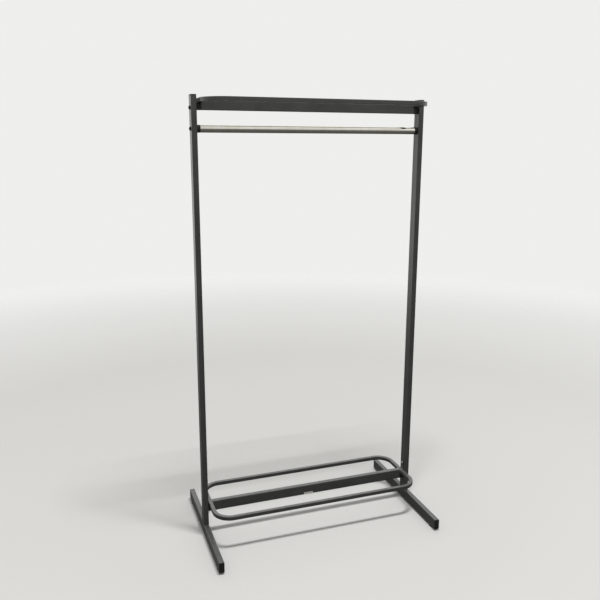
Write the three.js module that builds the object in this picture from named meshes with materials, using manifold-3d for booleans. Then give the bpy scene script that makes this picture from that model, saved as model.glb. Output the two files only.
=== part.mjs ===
// A free-standing coat and hanger rack: two tube posts on tube feet, a chromed hanger bar, and
// an open shelf frame above and below it. Millimetres, +Z up. The origin is on the floor under
// the rack's middle, +X runs along the hanger bar to the right, and -Y is the front.

import * as THREE from "three";
import { mergeVertices } from "three/addons/utils/BufferGeometryUtils.js";
import Module from "manifold-3d";

const wasm = await Module();
wasm.setup();

// Driving dimensions

const GAP = 0.3; // between neighbouring pieces
const OVERRUN = 1; // how far a cutting tool runs past the surface that it opens

const RACK = { width: 900, height: 1680, footLength: 570 };
const TUBE = { narrow: 20, wide: 40, wall: 1.5, corner: 2.5 };
const LOOP = { bar: 15, wall: 1.2, depth: 300, edge: 1.5, postClearance: 3, vent: 2 };
const LOOP_CORNERS = { top: 90, bottom: 70 };
const SHELF_TOPS = { top: 1667.5, bottom: 140 };
const HANGER_BAR = { radius: 13.5, wall: 1.2, height: 1565, collar: 11.7 };
const FOOT = { bottom: 7, boltSpread: 11, adjusterInset: 40, accessRadius: 6.5 };
const CAP = { thickness: 3.5, skirtLength: 14, skirtWall: 2, bevel: 0.8, innerCorner: 0.5 };
const PLUG = { spigotLength: 24, spigotHeight: 21, boltRise: 8, corner: 1.5, joinDepth: 1 };
const COLLAR = { rimBevel: 0.6, spigotTaper: 1 };
const FITTED_CORNER = 1; // corner radius of what slides into a tube
const INSERT = { radius: 4.5, length: 12 };
const BASE_PLUG = { height: 15 };
const M5 = { shank: 2.4, thread: 2.5, clearance: 2.75 };
const M6 = { shank: 2.9, thread: 3.05, clearance: 3.3 };
const M8 = { shank: 3.9, thread: 4.05 };
const DOME_HEAD = { radius: 7, rim: 0.8, height: 5.5, socket: 2.3, socketDepth: 2.6 };
const CAP_HEAD = { radius: 5, height: 6, socket: 2.9, socketDepth: 3 };
const SHANK_CHAMFER = 0.5;
const PAN_HEAD = { radius: 4.2, rim: 0.6, height: 2.4, socket: 1.5, socketDepth: 1.4 };
const TAB = { thickness: 1.5, width: 18, corner: 4, rise: 40, drop: 12, screwRise: 27 };
const SCREW_TIP = 1; // how far the tab screw shows past its nut
const BOLT_TIP = 2; // how far a through bolt shows past its insert
const RIVET_NUT = {
  bodyRadius: 3.4,
  holeRadius: 3.6,
  flangeRadius: 5,
  flange: 0.8,
  length: 13,
  bulgeRadius: 4.5,
  bulgeMiddle: 0.8,
  bulgeEnd: 2.4,
};
const ADJUSTER = {
  padRadius: 10,
  padHeight: 5,
  padBevel: 0.8,
  padTaper: 2,
  studChamfer: 1,
  pocketFloor: 2,
  studTop: 30,
  insertRadius: 5.9,
  insertTop: 24,
  flangeRadius: 8.5,
  flange: 0.8,
};

// Derived places

const POST_X = (RACK.width - TUBE.narrow) / 2;
const POST_INNER_X = RACK.width / 2 - TUBE.narrow;
const FOOT_TOP = FOOT.bottom + TUBE.wide;
const POST_BOTTOM = FOOT_TOP + GAP;
const POST_TOP = RACK.height - CAP.thickness - GAP;
const FOOT_TUBE_END = RACK.footLength / 2 - CAP.thickness - GAP;
const ADJUSTER_Y = RACK.footLength / 2 - FOOT.adjusterInset;
const LOOP_END_X = POST_INNER_X - LOOP.postClearance;
const RAIL_END_X = LOOP_END_X - LOOP.bar - GAP;
const BAR_END_X = POST_INNER_X - GAP - HANGER_BAR.collar - GAP;
const TAB_X = LOOP_END_X + (LOOP.postClearance - TAB.thickness - RIVET_NUT.flange) / 2;
const CAVITY = { narrow: TUBE.narrow - 2 * TUBE.wall, wide: TUBE.wide - 2 * TUBE.wall };

const TOP_BOLT_HEIGHT = SHELF_TOPS.top - TUBE.wide + PLUG.boltRise;
const TAB_SCREW_HEIGHT = SHELF_TOPS.bottom + TAB.screwRise;

// Materials, one instance for each piece

const finish = (color, roughness, metalness) => () =>
  new THREE.MeshStandardMaterial({ color, roughness, metalness });

const greyPaint = finish(0x3b3d3c, 0.5, 0.25);
const blackPlastic = finish(0x121212, 0.55, 0.0);
const blackSteel = finish(0x0c0c0c, 0.35, 0.6);
const chrome = finish(0xd9d9d4, 0.08, 1.0);
const zinc = finish(0xb9bab6, 0.35, 0.9);
const brass = finish(0xb08d4a, 0.35, 1.0);

// Booleans

function solidOf(geometry) {
  const bare = geometry.clone();
  bare.deleteAttribute("normal");
  bare.deleteAttribute("uv");
  const merged = mergeVertices(bare, 1e-4);
  const mesh = new wasm.Mesh({
    numProp: 3,
    vertProperties: merged.attributes.position.array,
    triVerts: new Uint32Array(merged.index.array),
  });
  return new wasm.Manifold(mesh);
}

function geometryOf(solid) {
  const { numProp, vertProperties, triVerts } = solid.getMesh();
  const shared = new THREE.BufferGeometry();
  shared.setAttribute("position", new THREE.BufferAttribute(vertProperties, numProp));
  shared.setIndex(new THREE.BufferAttribute(triVerts, 1));
  const faceted = shared.toNonIndexed();
  faceted.computeVertexNormals();
  return faceted;
}

const union = (...parts) =>
  geometryOf(parts.map(solidOf).reduce((sum, part) => sum.add(part)));

const cut = (base, ...tools) =>
  geometryOf(tools.map(solidOf).reduce((rest, tool) => rest.subtract(tool), solidOf(base)));

// Sections and their extrusions

function roundedRect(width, height, radius) {
  const x = width / 2 - radius;
  const y = height / 2 - radius;
  const shape = new THREE.Shape();
  shape.absarc(x, y, radius, 0, Math.PI / 2);
  shape.absarc(-x, y, radius, Math.PI / 2, Math.PI);
  shape.absarc(-x, -y, radius, Math.PI, 1.5 * Math.PI);
  shape.absarc(x, -y, radius, 1.5 * Math.PI, 2 * Math.PI);
  return shape;
}

function withHole(shape, hole) {
  shape.holes.push(hole);
  return shape;
}

const tubeSection = (width, height) =>
  withHole(
    roundedRect(width, height, TUBE.corner),
    roundedRect(width - 2 * TUBE.wall, height - 2 * TUBE.wall, TUBE.corner - TUBE.wall),
  );

function circle(radius) {
  const shape = new THREE.Shape();
  return shape.absarc(0, 0, radius, 0, 2 * Math.PI);
}

// Fineness of curves: an extruded arc gets twice as many sides as its segments.
const BAR_SEGMENTS = 24;
const HOLE_SEGMENTS = 6;
const LOOP_CORNER_SEGMENTS = 4;
const EDGE_SEGMENTS = 2;
const DOME_SEGMENTS = 5;
const TURNED_SIDES = 16;

const extrude = (shape, length, curveSegments = EDGE_SEGMENTS, options = { bevelEnabled: false }) =>
  new THREE.ExtrudeGeometry(shape, { depth: length, curveSegments, ...options });

// Turns a section drawn in X and Y, extruded along Z, to run along another axis.
const basis = (x, y, z) =>
  new THREE.Matrix4().makeBasis(
    new THREE.Vector3(...x),
    new THREE.Vector3(...y),
    new THREE.Vector3(...z),
  );
const ALONG = {
  x: basis([0, 1, 0], [0, 0, 1], [1, 0, 0]),
  y: basis([-1, 0, 0], [0, 0, 1], [0, 1, 0]),
  z: new THREE.Matrix4(),
};

function bar(shape, axis, from, to, curveSegments = EDGE_SEGMENTS) {
  const geometry = extrude(shape, to - from, curveSegments).translate(0, 0, from);
  return geometry.applyMatrix4(ALONG[axis]);
}

const rod = (radius, axis, from, to) => bar(circle(radius), axis, from, to, HOLE_SEGMENTS);

// A turned piece along an axis: each profile point is [radius, distance along the axis].
function turned(points, axis) {
  const profile = points.map(([radius, along]) => new THREE.Vector2(radius, along));
  const geometry = new THREE.LatheGeometry(profile, TURNED_SIDES);
  return axis === "x" ? geometry.rotateZ(-Math.PI / 2) : geometry.rotateX(Math.PI / 2);
}

const ring = (inner, outer, axis, from, to) =>
  turned([[inner, from], [outer, from], [outer, to], [inner, to], [inner, from]], axis);

const hexagon = (radius, axis, from, to) => {
  const prism = new THREE.CylinderGeometry(radius, radius, to - from, 6);
  prism.translate(0, (from + to) / 2, 0);
  return axis === "x" ? prism.rotateZ(-Math.PI / 2) : prism.rotateX(Math.PI / 2);
};

// A dome head bolt along X: the head's seat is at 0 and the shank runs to -length.
function domeBolt(head, shank, length) {
  const dome = new THREE.EllipseCurve(0, head.rim, head.radius, head.height - head.rim, 0, Math.PI / 2);
  const crown = dome.getPoints(DOME_SEGMENTS).map((point) => [Math.max(point.x, 0), point.y]);
  crown[crown.length - 1][0] = 0;
  const shankProfile = [
    [0, -length],
    [shank - SHANK_CHAMFER, -length],
    [shank, SHANK_CHAMFER - length],
    [shank, 0],
  ];
  const body = turned([...shankProfile, [head.radius, 0], ...crown], "x");
  const socketFloor = head.height - head.socketDepth;
  return cut(body, hexagon(head.socket, "x", socketFloor, head.height + OVERRUN));
}

// A cap head bolt along Z: the head hangs below its seat at 0 and the shank rises to length.
function capBolt(head, shank, length) {
  const body = turned(
    [
      [0, -head.height],
      [head.radius, -head.height],
      [head.radius, 0],
      [shank, 0],
      [shank, length - SHANK_CHAMFER],
      [shank - SHANK_CHAMFER, length],
      [0, length],
    ],
    "z",
  );
  const socketFloor = head.socketDepth - head.height;
  return cut(body, hexagon(head.socket, "z", -head.height - OVERRUN, socketFloor));
}

// The exported group and the two end groups, in which +X points outwards

const rack = new THREE.Group();
const SIDES = ["left", "right"];
const ends = Object.fromEntries(SIDES.map((side) => [side, new THREE.Group()]));
ends.left.rotation.z = Math.PI;
rack.add(ends.left, ends.right);

const depthName = (side, y) => ((side === "left" ? -y : y) < 0 ? "front" : "back");

function place(parent, name, geometry, material, x = 0, y = 0, z = 0) {
  const mesh = new THREE.Mesh(geometry, material());
  mesh.name = name;
  mesh.position.set(x, y, z);
  parent.add(mesh);
}

// Posts

function postTube(side) {
  const tube = bar(tubeSection(TUBE.narrow, TUBE.wide), "z", POST_BOTTOM, POST_TOP);
  const through = (height) =>
    rod(M6.clearance, "x", -TUBE.narrow, TUBE.narrow).translate(0, 0, height);
  const rivetHole = rod(RIVET_NUT.holeRadius, "x", -TUBE.narrow, 0).translate(0, 0, TAB_SCREW_HEIGHT);
  const drilled = cut(tube, through(TOP_BOLT_HEIGHT), through(HANGER_BAR.height), rivetHole);
  place(ends[side], `${side}_post`, drilled, greyPaint, POST_X);
}

// A push-in cap for the end of a tube; its flange's outer face is at the thickness.
function pushInCap(width, height) {
  const { thickness, skirtLength, skirtWall, bevel, innerCorner } = CAP;
  const bevelled = {
    bevelThickness: bevel,
    bevelSize: bevel,
    bevelOffset: -bevel,
    bevelSegments: 1,
  };
  const flange = extrude(
    roundedRect(width, height, TUBE.corner),
    thickness - 2 * bevel,
    EDGE_SEGMENTS,
    bevelled,
  ).translate(0, 0, bevel);
  const fit = 2 * (TUBE.wall + GAP);
  const hollow = fit + 2 * skirtWall;
  const outline = roundedRect(width - fit, height - fit, FITTED_CORNER);
  const inside = roundedRect(width - hollow, height - hollow, innerCorner);
  const skirt = extrude(withHole(outline, inside), skirtLength + bevel).translate(0, 0, -skirtLength);
  return union(flange, skirt);
}

function postCap(side) {
  const cap = pushInCap(TUBE.narrow, TUBE.wide);
  place(ends[side], `${side}_post_cap`, cap, blackPlastic, POST_X, 0, RACK.height - CAP.thickness);
}

function basePlug(side) {
  const fit = 2 * GAP;
  const block = bar(
    roundedRect(CAVITY.narrow - fit, CAVITY.wide - fit, FITTED_CORNER),
    "z",
    POST_BOTTOM + GAP,
    POST_BOTTOM + BASE_PLUG.height,
  );
  const tappingEnd = POST_BOTTOM + BASE_PLUG.height + OVERRUN;
  const tappings = [-1, 1].map((way) =>
    rod(M6.thread, "z", FOOT_TOP, tappingEnd).translate(0, way * FOOT.boltSpread, 0),
  );
  place(ends[side], `${side}_base_plug`, cut(block, ...tappings), zinc, POST_X);
}

// Feet

function footTube(side) {
  const tube = bar(tubeSection(TUBE.narrow, TUBE.wide), "y", -FOOT_TUBE_END, FOOT_TUBE_END);
  tube.translate(0, 0, FOOT.bottom + TUBE.wide / 2);
  const holes = [-1, 1].flatMap((way) => {
    const boltY = way * FOOT.boltSpread;
    const middle = FOOT.bottom + TUBE.wide / 2;
    return [
      rod(M6.clearance, "z", middle, FOOT_TOP + OVERRUN).translate(0, boltY, 0),
      rod(FOOT.accessRadius, "z", 0, middle).translate(0, boltY, 0),
      rod(ADJUSTER.insertRadius + GAP, "z", 0, middle).translate(0, way * ADJUSTER_Y, 0),
    ];
  });
  place(ends[side], `${side}_foot`, cut(tube, ...holes), greyPaint, POST_X);
}

function footCap(side, way) {
  const cap = pushInCap(TUBE.narrow, TUBE.wide).applyMatrix4(ALONG.y);
  if (way < 0) cap.rotateZ(Math.PI);
  const y = way * (RACK.footLength / 2 - CAP.thickness);
  const name = `${side}_foot_${depthName(side, way)}_cap`;
  place(ends[side], name, cap, blackPlastic, POST_X, y, FOOT.bottom + TUBE.wide / 2);
}

function footBolt(side, way) {
  const seat = FOOT_TOP - TUBE.wall - GAP;
  const bolt = capBolt(CAP_HEAD, M6.shank, BASE_PLUG.height + TUBE.wall);
  const name = `${side}_foot_bolt_${depthName(side, way)}`;
  place(ends[side], name, bolt, blackSteel, POST_X, way * FOOT.boltSpread, seat);
}

// Levelling adjusters: a pad on a threaded stud that screws into a flanged insert in the foot

function adjuster(side, way) {
  const { padRadius, padHeight, padBevel, padTaper, pocketFloor, studTop, studChamfer } = ADJUSTER;
  const pocket = M8.shank + GAP;
  const pad = turned(
    [
      [0, 0],
      [padRadius - padBevel, 0],
      [padRadius, padBevel],
      [padRadius, padHeight / 2],
      [padRadius - padTaper, padHeight],
      [pocket, padHeight],
      [pocket, pocketFloor],
      [0, pocketFloor],
    ],
    "z",
  );
  const foot = pocketFloor + GAP;
  const stud = turned(
    [
      [0, foot],
      [M8.shank, foot],
      [M8.shank, studTop - studChamfer],
      [M8.shank - studChamfer, studTop],
      [0, studTop],
    ],
    "z",
  );
  const prefix = `${side}_${depthName(side, way)}_adjuster`;
  const y = way * ADJUSTER_Y;
  place(ends[side], `${prefix}_pad`, pad, blackPlastic, POST_X, y);
  place(ends[side], `${prefix}_stud`, stud, zinc, POST_X, y);
  place(ends[side], `${prefix}_insert`, adjusterInsert(), zinc, POST_X, y);
}

function adjusterInsert() {
  const { insertRadius, insertTop, flangeRadius, flange } = ADJUSTER;
  const seat = FOOT.bottom - GAP;
  return turned(
    [
      [M8.thread, seat - flange],
      [flangeRadius, seat - flange],
      [flangeRadius, seat],
      [insertRadius, seat],
      [insertRadius, insertTop],
      [M8.thread, insertTop],
      [M8.thread, seat - flange],
    ],
    "z",
  );
}

// Shelf frames: a rail along the middle and a ring of square tube around it

function rail(shelf) {
  const tube = bar(tubeSection(TUBE.narrow, TUBE.wide), "x", -RAIL_END_X, RAIL_END_X);
  place(rack, `${shelf}_rail`, tube, greyPaint, 0, 0, SHELF_TOPS[shelf] - TUBE.wide / 2);
}

const ringShape = (corner, inset) =>
  withHole(
    roundedRect(2 * (LOOP_END_X - inset), LOOP.depth - 2 * inset, corner - inset),
    roundedRect(
      2 * (LOOP_END_X - LOOP.bar + inset),
      LOOP.depth - 2 * (LOOP.bar - inset),
      corner - LOOP.bar + inset,
    ),
  );

function loop(shelf) {
  const { bar: side, wall, edge, vent } = LOOP;
  const corner = LOOP_CORNERS[shelf];
  const rounded = {
    bevelThickness: edge,
    bevelSize: edge,
    bevelOffset: -edge,
    bevelSegments: 1,
  };
  const outside = extrude(ringShape(corner, 0), side - 2 * edge, LOOP_CORNER_SEGMENTS, rounded);
  const hollow = extrude(ringShape(corner, wall), side - 2 * wall, LOOP_CORNER_SEGMENTS);
  const ventHole = rod(vent, "z", -OVERRUN, side / 2).translate(0, (LOOP.depth - side) / 2, 0);
  const frame = cut(outside.translate(0, 0, edge), hollow.translate(0, 0, wall), ventHole);
  place(rack, `${shelf}_loop`, frame, greyPaint, 0, 0, SHELF_TOPS[shelf] - side);
}

// The plug in a rail's end: its body fills the space under the loop, up to the post.
function railPlug(shelf, side) {
  const bottom = SHELF_TOPS[shelf] - TUBE.wide;
  const height = TUBE.wide - LOOP.bar - GAP;
  const bodyStart = RAIL_END_X + GAP;
  const bodyEnd = POST_INNER_X - GAP;
  const body = bar(roundedRect(TUBE.narrow, height, PLUG.corner), "x", bodyStart, bodyEnd);
  body.translate(0, 0, bottom + height / 2);
  const spigotEnd = RAIL_END_X - PLUG.spigotLength;
  const spigot = bar(
    roundedRect(CAVITY.narrow - 2 * GAP, PLUG.spigotHeight, FITTED_CORNER),
    "x",
    spigotEnd,
    bodyStart + PLUG.joinDepth,
  ).translate(0, 0, bottom + TUBE.wall + GAP + PLUG.spigotHeight / 2);
  const plug = union(body, spigot);
  const name = `${shelf}_plug_${side}`;
  if (shelf === "bottom") return place(ends[side], name, plug, blackPlastic);
  const start = spigotEnd - OVERRUN;
  const bore = rod(M6.clearance, "x", start, bodyEnd + OVERRUN);
  const pocket = rod(INSERT.radius + GAP, "x", start, spigotEnd + INSERT.length + GAP);
  for (const hole of [bore, pocket]) hole.translate(0, 0, TOP_BOLT_HEIGHT);
  place(ends[side], name, cut(plug, bore, pocket), blackPlastic);
  const insert = ring(M6.thread, INSERT.radius, "x", spigotEnd, spigotEnd + INSERT.length);
  place(ends[side], `top_insert_${side}`, insert, brass, 0, 0, TOP_BOLT_HEIGHT);
}

function throughBolt(name, side, reach, height) {
  const seat = RACK.width / 2 + GAP;
  const bolt = domeBolt(DOME_HEAD, M6.shank, seat - reach);
  place(ends[side], `${name}_${side}`, bolt, blackSteel, seat, 0, height);
}

// Hanger bar

function hangerBar() {
  const { radius, wall, height } = HANGER_BAR;
  const section = withHole(circle(radius), circle(radius - wall));
  const tube = bar(section, "x", -BAR_END_X, BAR_END_X, BAR_SEGMENTS);
  place(rack, "hanger_bar", tube, chrome, 0, 0, height);
}

function barSocket(side) {
  const { radius, wall, height } = HANGER_BAR;
  const spigot = radius - wall - GAP;
  const spigotEnd = BAR_END_X - PLUG.spigotLength;
  const insertEnd = spigotEnd + INSERT.length;
  const collarStart = BAR_END_X + GAP;
  const collarEnd = POST_INNER_X - GAP;
  const pocket = INSERT.radius + GAP;
  const { rimBevel, spigotTaper } = COLLAR;
  const body = turned(
    [
      [pocket, spigotEnd],
      [spigot - spigotTaper, spigotEnd],
      [spigot, spigotEnd + spigotTaper],
      [spigot, collarStart],
      [radius - rimBevel, collarStart],
      [radius, collarStart + rimBevel],
      [radius, collarEnd - rimBevel],
      [radius - rimBevel, collarEnd],
      [M6.clearance, collarEnd],
      [M6.clearance, insertEnd + GAP],
      [pocket, insertEnd + GAP],
      [pocket, spigotEnd],
    ],
    "x",
  );
  place(ends[side], `bar_socket_${side}`, body, blackPlastic, 0, 0, height);
  const insert = ring(M6.thread, INSERT.radius, "x", spigotEnd, insertEnd);
  place(ends[side], `bar_insert_${side}`, insert, brass, 0, 0, height);
}

// Bottom frame's fixing: a tab welded to the loop, screwed into a rivet nut in the post

function bottomTab(side) {
  const bottom = SHELF_TOPS.bottom - TAB.drop;
  const top = SHELF_TOPS.bottom + TAB.rise;
  const shape = roundedRect(TAB.width, top - bottom, TAB.corner);
  const plate = bar(shape, "x", TAB_X, TAB_X + TAB.thickness);
  plate.translate(0, 0, (bottom + top) / 2);
  const hole = rod(M5.clearance, "x", TAB_X - OVERRUN, TAB_X + TAB.thickness + OVERRUN);
  const drilled = cut(plate, hole.translate(0, 0, TAB_SCREW_HEIGHT));
  place(ends[side], `bottom_tab_${side}`, drilled, greyPaint);
}

function bottomScrew(side) {
  const seat = TAB_X - GAP / 2;
  const tip = POST_INNER_X + RIVET_NUT.length + SCREW_TIP;
  const screw = domeBolt(PAN_HEAD, M5.shank, tip - seat).rotateZ(Math.PI);
  place(ends[side], `bottom_screw_${side}`, screw, zinc, seat, 0, TAB_SCREW_HEIGHT);
}

function rivetNut(side) {
  const { bodyRadius, flangeRadius, flange, length } = RIVET_NUT;
  const { bulgeRadius, bulgeMiddle, bulgeEnd } = RIVET_NUT;
  const face = POST_INNER_X - GAP / 2;
  const behindWall = POST_INNER_X + TUBE.wall + GAP;
  const end = POST_INNER_X + length;
  const nut = turned(
    [
      [M5.thread, face - flange],
      [flangeRadius, face - flange],
      [flangeRadius, face],
      [bodyRadius, face],
      [bodyRadius, behindWall],
      [bulgeRadius, behindWall + bulgeMiddle],
      [bodyRadius, behindWall + bulgeEnd],
      [bodyRadius, end],
      [M5.thread, end],
      [M5.thread, face - flange],
    ],
    "x",
  );
  place(ends[side], `bottom_rivet_nut_${side}`, nut, zinc, 0, 0, TAB_SCREW_HEIGHT);
}

// Assembly

for (const shelf of ["top", "bottom"]) {
  rail(shelf);
  loop(shelf);
}
hangerBar();

for (const side of SIDES) {
  postTube(side);
  postCap(side);
  basePlug(side);
  footTube(side);
  railPlug("top", side);
  railPlug("bottom", side);
  throughBolt("top_bolt", side, RAIL_END_X - PLUG.spigotLength - BOLT_TIP, TOP_BOLT_HEIGHT);
  barSocket(side);
  throughBolt("bar_bolt", side, BAR_END_X - PLUG.spigotLength - BOLT_TIP, HANGER_BAR.height);
  bottomTab(side);
  bottomScrew(side);
  rivetNut(side);
  for (const way of [-1, 1]) {
    footCap(side, way);
    footBolt(side, way);
    adjuster(side, way);
  }
}

export default rack;
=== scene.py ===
import math
import random

import bmesh
import bpy
from mathutils import Matrix, Vector

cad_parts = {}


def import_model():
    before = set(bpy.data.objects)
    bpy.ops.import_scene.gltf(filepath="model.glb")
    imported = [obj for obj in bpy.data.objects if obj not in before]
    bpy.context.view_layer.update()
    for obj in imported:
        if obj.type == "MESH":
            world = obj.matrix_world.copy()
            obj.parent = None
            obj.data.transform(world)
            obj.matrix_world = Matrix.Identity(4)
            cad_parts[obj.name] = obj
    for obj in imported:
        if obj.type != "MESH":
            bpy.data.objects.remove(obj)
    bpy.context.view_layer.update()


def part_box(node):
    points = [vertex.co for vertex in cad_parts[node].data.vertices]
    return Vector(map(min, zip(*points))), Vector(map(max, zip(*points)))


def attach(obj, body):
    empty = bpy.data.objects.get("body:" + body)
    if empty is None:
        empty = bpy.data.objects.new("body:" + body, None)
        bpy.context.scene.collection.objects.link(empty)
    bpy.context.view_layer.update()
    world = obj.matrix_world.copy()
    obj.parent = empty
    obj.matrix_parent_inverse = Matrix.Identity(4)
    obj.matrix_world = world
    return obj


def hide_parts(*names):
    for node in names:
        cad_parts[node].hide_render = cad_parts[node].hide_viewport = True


# The looks of a free-standing coat rack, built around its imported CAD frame.
# Metres, +Z up, -Y is the front. Every piece takes its place and outer size from the frame.

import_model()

MM = 0.001
SIDES = ("left", "right")
SHELVES = ("top", "bottom")
DEPTHS = ("front", "back")
QUARTERS = ((1, 1), (-1, 1), (-1, -1), (1, -1))  # signs of a rectangle's corners, anticlockwise

# Sizes that the frame's boxes don't show

GAP = 0.3 * MM
OVERRUN = 1 * MM  # how far a cutting tool starts outside a wall
NEAR_AXIS = 0.4 * MM  # radius at which a turned hollow closes
TUBE_WALL = 1.5 * MM
TUBE_CORNER = 2.5 * MM
BURR = 0.35 * MM
LOOP_BAR = 15 * MM
LOOP_WALL = 1.2 * MM
LOOP_CORNERS = {"top": 90 * MM, "bottom": 70 * MM}
LOOP_EDGE = 1.6 * MM
LOOP_DISH = 0.5 * MM
VENT_RADIUS = 2 * MM
HANGER_BAR_WALL = 1.2 * MM
CAP_THICKNESS = 3.5 * MM
CAP_BEVEL = 0.8 * MM
CAP_CROWN = 0.35 * MM
SKIRT_WALL = 2 * MM
SPIGOT_LENGTH = 24 * MM
SPIGOT_HEIGHT = 21 * MM
SPIGOT_TAPER = 1 * MM
FITTED_CORNER = 1 * MM
PLUG_CORNER = 1.5 * MM
PLUG_EDGE = 0.5 * MM
GRIP_RIB = 0.22 * MM
INSERT_LENGTH = 12 * MM
INSERT_POCKET = 4.8 * MM
ACCESS_RADIUS = 6.5 * MM
ADJUSTER_HOLE_RADIUS = 6.2 * MM
RIVET_HOLE_RADIUS = 3.6 * MM
BASE_PLUG_BORE = 3.05 * MM
TAB_CORNER = 4 * MM
PAD_BEVEL = 0.8 * MM
POCKET_FLOOR = 2 * MM

# A grip rib that leans back: (distance along the spigot, height above it)
RIB = ((0, 0), (0.9 * MM, GRIP_RIB), (1.15 * MM, GRIP_RIB), (1.3 * MM, 0))

# Threads: crest and root radius of the screw, radius of a hole that clears it and of one that is
# tapped for it, and pitch
M5 = {"crest": 2.4 * MM, "root": 2.05 * MM, "hole": 2.75 * MM, "tapped": 2.5 * MM, "pitch": 0.8 * MM}
M6 = {"crest": 2.9 * MM, "root": 2.45 * MM, "hole": 3.3 * MM, "tapped": 3.1 * MM, "pitch": 1.0 * MM}
M8 = {"crest": 3.9 * MM, "root": 3.3 * MM, "tapped": 4.05 * MM, "pitch": 1.25 * MM}
TIP_CONE = 0.5 * MM  # length of the cone at a screw's tip
THREAD_START = 0.6 * MM
THREAD_END = 0.4 * MM  # length over which a bolt's thread ends in its plain shank
FILLET = 0.3 * MM  # under a bolt's head, and at the mouth of a tapped hole

# Bolt heads: height of the straight rim, whole height, corner radius and depth of the hexagon socket,
# and how much wider than the socket its mouth is
DOME_HEAD = {"rim": 0.8 * MM, "height": 5.5 * MM, "socket": 2.3 * MM, "depth": 2.6 * MM, "flare": 1.16}
PAN_HEAD = {"rim": 0.6 * MM, "height": 2.4 * MM, "socket": 1.5 * MM, "depth": 1.4 * MM, "flare": 1.16}
CAP_HEAD = {"height": 6 * MM, "socket": 2.9 * MM, "depth": 3.0 * MM, "flare": 1.12}

CORNER_STEPS = 6
BEND_STEPS = 28
FINE_SIDES = 96
BOLT_SIDES = 48
HOLE_SIDES = 32
DOME_STEPS = 10
THREAD_STEPS = 6  # rings for each turn of a thread


# ---------------------------------------------------------------- mesh tools


def rounded_rect(width, height, corner):
    """Points round a rectangle with round corners, anticlockwise about the origin."""
    points = []
    for quarter, (way_u, way_v) in enumerate(QUARTERS):
        centre = Vector((way_u * (width / 2 - corner), way_v * (height / 2 - corner)))
        for step in range(CORNER_STEPS + 1):
            angle = math.radians(90 * (quarter + step / CORNER_STEPS))
            points.append(centre + corner * Vector((math.cos(angle), math.sin(angle))))
    return points


def level(points, along, drop=0.0):
    """Flat points lifted to a height along +Z; drop shifts them along Y."""
    return [Vector((point.x, point.y + drop, along)) for point in points]


def loft(rings, joined=False):
    """A closed mesh through rings of points. Its two ends are filled, or joined to each other."""
    bm = bmesh.new()
    rows = [[bm.verts.new(point) for point in ring] for ring in rings]
    pairs = list(zip(rows, rows[1:]))
    if joined:
        pairs.append((rows[-1], rows[0]))
    else:
        bm.faces.new(rows[0][::-1])
        bm.faces.new(rows[-1])
    for lower, upper in pairs:
        for i in range(len(lower)):
            j = (i + 1) % len(lower)
            bm.faces.new((lower[i], lower[j], upper[j], upper[i]))
    bmesh.ops.recalc_face_normals(bm, faces=bm.faces)
    return bm


def spin(profile, sides=BOLT_SIDES, joined=False):
    """A turned solid about +Z from (distance, radius) pairs; a radius may be a function of the angle."""
    rings = []
    for along, radius in profile:
        ring = []
        for i in range(sides):
            angle = 2 * math.pi * i / sides
            reach = radius(angle) if callable(radius) else radius
            ring.append(Vector((reach * math.cos(angle), reach * math.sin(angle), along)))
        rings.append(ring)
    return loft(rings, joined)


def prism(rings):
    """A solid along +Z through rounded rectangles: (distance, width, height, corner, drop along Y)."""
    return loft([level(rounded_rect(w, h, corner), along, drop) for along, w, h, corner, drop in rings])


def placed(bm, matrix):
    """The mesh, moved to its place."""
    bmesh.ops.transform(bm, matrix=matrix, verts=bm.verts)
    return bm


def merged(*parts):
    """Several meshes as one, without cutting them."""
    whole = bmesh.new()
    for part in parts:
        mesh = bpy.data.meshes.new("part")
        part.to_mesh(mesh)
        whole.from_mesh(mesh)
        bpy.data.meshes.remove(mesh)
        part.free()
    return whole


def helper(bm):
    """A short-lived object for a boolean."""
    mesh = bpy.data.meshes.new("helper")
    bm.to_mesh(mesh)
    bm.free()
    made = bpy.data.objects.new("helper", mesh)
    bpy.context.scene.collection.objects.link(made)
    return made


def cut(bm, *tools):
    """The mesh with the tools cut out of it."""
    target = helper(bm)
    cutters = [helper(tool) for tool in tools]
    for cutter in cutters:
        step = target.modifiers.new("cut", "BOOLEAN")
        step.operation = "DIFFERENCE"
        step.solver = "EXACT"
        step.object = cutter
    evaluated = target.evaluated_get(bpy.context.evaluated_depsgraph_get())
    result = bmesh.new()
    result.from_mesh(evaluated.to_mesh())
    evaluated.to_mesh_clear()
    for used in (target, *cutters):
        mesh = used.data
        bpy.data.objects.remove(used)
        bpy.data.meshes.remove(mesh)
    return result


def turn(u, v, w):
    """The rotation that takes +X, +Y and +Z to three directions."""
    return Matrix((u, v, w)).transposed().to_4x4()


TURNS = {
    "+x": turn((0, 1, 0), (0, 0, 1), (1, 0, 0)),
    "-x": turn((0, -1, 0), (0, 0, 1), (-1, 0, 0)),
    "+y": turn((-1, 0, 0), (0, 0, 1), (0, 1, 0)),
    "-y": turn((1, 0, 0), (0, 0, 1), (0, -1, 0)),
    "+z": turn((1, 0, 0), (0, 1, 0), (0, 0, 1)),
    "-z": turn((1, 0, 0), (0, -1, 0), (0, 0, -1)),
}
OUTWARD = {"left": "-x", "right": "+x"}
INWARD = {"left": "+x", "right": "-x"}
FACING = {"front": "-y", "back": "+y"}


def middle(node):
    """The middle of a CAD node's box."""
    low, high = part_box(node)
    return (low + high) / 2


def measure(node, direction):
    """(matrix, width, height, length) of a CAD node, for a piece drawn along +Z from its first end."""
    low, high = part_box(node)
    rotation = TURNS[direction]
    width, height, length = (abs(c) for c in rotation.to_3x3().transposed() @ (high - low))
    start = (low + high) / 2 - rotation.to_3x3() @ Vector((0, 0, length / 2))
    return Matrix.Translation(start) @ rotation, width, height, length


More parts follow.
